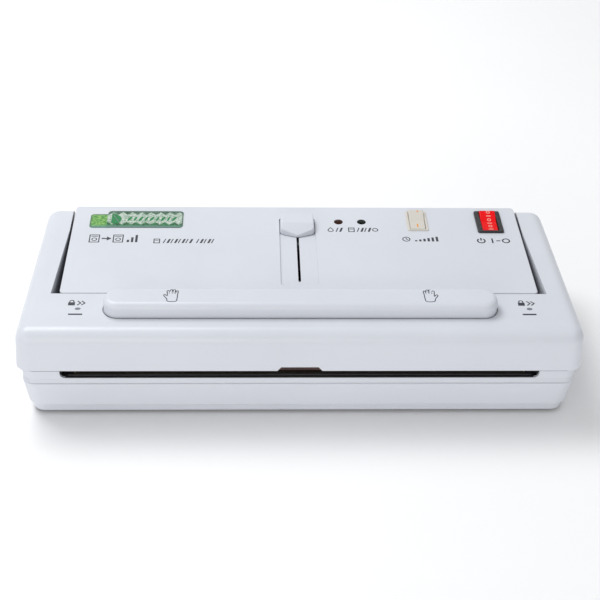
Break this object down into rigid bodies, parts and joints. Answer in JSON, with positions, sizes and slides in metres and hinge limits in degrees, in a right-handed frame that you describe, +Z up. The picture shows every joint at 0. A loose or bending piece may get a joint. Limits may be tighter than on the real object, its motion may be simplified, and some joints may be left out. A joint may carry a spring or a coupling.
{
  "type": "vacuum packing machine",
  "caption": "Low white household vacuum packing machine: hinged U-shaped lid with a grip bar over a full-width bag mouth, and a fixed centre panel with a sliding latch knob and rocker switches.",
  "frame": {"origin": "centre of the bounding box in plan, at the height the rubber feet stand on", "axes": "+X to the operator's right, +Y from the bag mouth to the back, +Z up"},
  "size_m": [0.3844, 0.155, 0.0865],
  "materials": {
    "white_plastic": "satin moulded ABS",
    "black_plastic": "fine matt",
    "ivory_plastic": "semi-gloss",
    "red_plastic": "semi-gloss",
    "red_lens": "clear tinted",
    "green_lens": "clear tinted",
    "label_film": "printed film",
    "grey_rubber": "matt",
    "foam": "closed-cell foam",
    "silicone": "satin silicone",
    "clear_tube": "translucent silicone",
    "steel": "zinc plated",
    "laminations": "varnished sheet",
    "nichrome": "rolled ribbon",
    "cover_cloth": "coated woven cloth",
    "magnet": "sintered",
    "aluminium": "extruded",
    "brass": "stamped",
    "copper_winding": "enamelled wire",
    "circuit_board": "solder mask",
    "grey_plastic": "moulded nylon",
    "blue_plastic": "moulded nylon"
  },
  "bodies": {
    "base": {"bottom_shell": "white_plastic", "upper_housing": "white_plastic", "rubber_feet": "grey_rubber", "housing_screws": "steel", "seal_bed": "black_plastic", "trough_liner": "steel", "hose_nozzles": "brass", "base_gasket": "foam", "seal_bar": "black_plastic", "heating_ribbon": "nichrome", "cover_tape": "cover_cloth", "ribbon_clips": "brass", "cord_gland": "grey_rubber", "lid_bumpers": "grey_rubber", "hinge_brackets": "grey_plastic", "hinge_pins": "steel", "slider_guides": "grey_plastic", "power_switch_body": "black_plastic", "switch_tabs": "brass", "time_switch_body": "ivory_plastic", "indicator_red": "red_lens", "indicator_green": "green_lens", "indicator_board": "circuit_board", "panel_label": "label_film", "motor_can": "steel", "motor_magnets": "magnet", "pump_frame": "grey_plastic", "connecting_rod": "grey_plastic", "pump_diaphragm": "grey_rubber", "pump_head": "black_plastic", "pump_grommets": "grey_rubber", "air_valve_body": "steel", "air_valve_coil": "copper_winding", "lid_switch_body": "black_plastic", "transformer_core": "laminations", "transformer_coil": "copper_winding", "main_board": "circuit_board", "board_relay": "blue_plastic", "board_capacitors": "black_plastic", "board_terminals": "grey_plastic", "board_heat_sink": "aluminium", "pump_hose": "clear_tube", "vent_hose": "clear_tube", "wire_harness": "black_plastic"},
    "lid": {"lid_shell": "white_plastic", "grip_bar": "white_plastic", "lid_screws": "steel", "lid_liner": "white_plastic", "recess_cap": "white_plastic", "lid_gasket": "foam", "press_strip": "silicone", "latch_strikers": "grey_plastic"},
    "slider": {"slider_knob": "white_plastic", "slider_carriage": "grey_plastic"},
    "rotor": {"motor_rotor": "laminations", "eccentric_cam": "brass"},
    "power_rocker_body": {"power_rocker": "red_plastic"},
    "time_rocker_body": {"time_rocker": "ivory_plastic"},
    "valve_plunger": {"air_valve_plunger": "steel"},
    "lid_switch_button": {"lid_switch_plunger": "red_plastic"}
  },
  "joints": [
    {"name": "lid_hinge", "type": "hinge", "parent": "base", "child": "lid", "pos_m": [0, 0.0645, 0.0578], "axis": [-1, 0, 0], "range_deg": [0, 75]},
    {"name": "latch_slide", "type": "slide", "parent": "base", "child": "slider", "axis": [0, -1, 0], "range_m": [0, 0.058]},
    {"name": "power_rocker_tilt", "type": "hinge", "parent": "base", "child": "power_rocker_body", "pos_m": [0.1434, 0.0568, 0.0742], "axis": [-1, 0, 0], "range_deg": [0, 16]},
    {"name": "time_rocker_tilt", "type": "hinge", "parent": "base", "child": "time_rocker_body", "pos_m": [0.0896, 0.0583, 0.0742], "axis": [-1, 0, 0], "range_deg": [0, 16]},
    {"name": "motor_spin", "type": "hinge", "parent": "base", "child": "rotor", "pos_m": [-0.036, 0.0215, 0.032], "axis": [1, 0, 0], "continuous": true},
    {"name": "air_valve_stroke", "type": "slide", "parent": "base", "child": "valve_plunger", "axis": [0, 0, -1], "range_m": [0, 0.002], "stiffness_N_per_m": 200, "springref_m": -0.002},
    {"name": "lid_switch_press", "type": "slide", "parent": "base", "child": "lid_switch_button", "axis": [0, 0, -1], "range_m": [0, 0.0012], "stiffness_N_per_m": 200, "springref_m": -0.001}
  ]
}
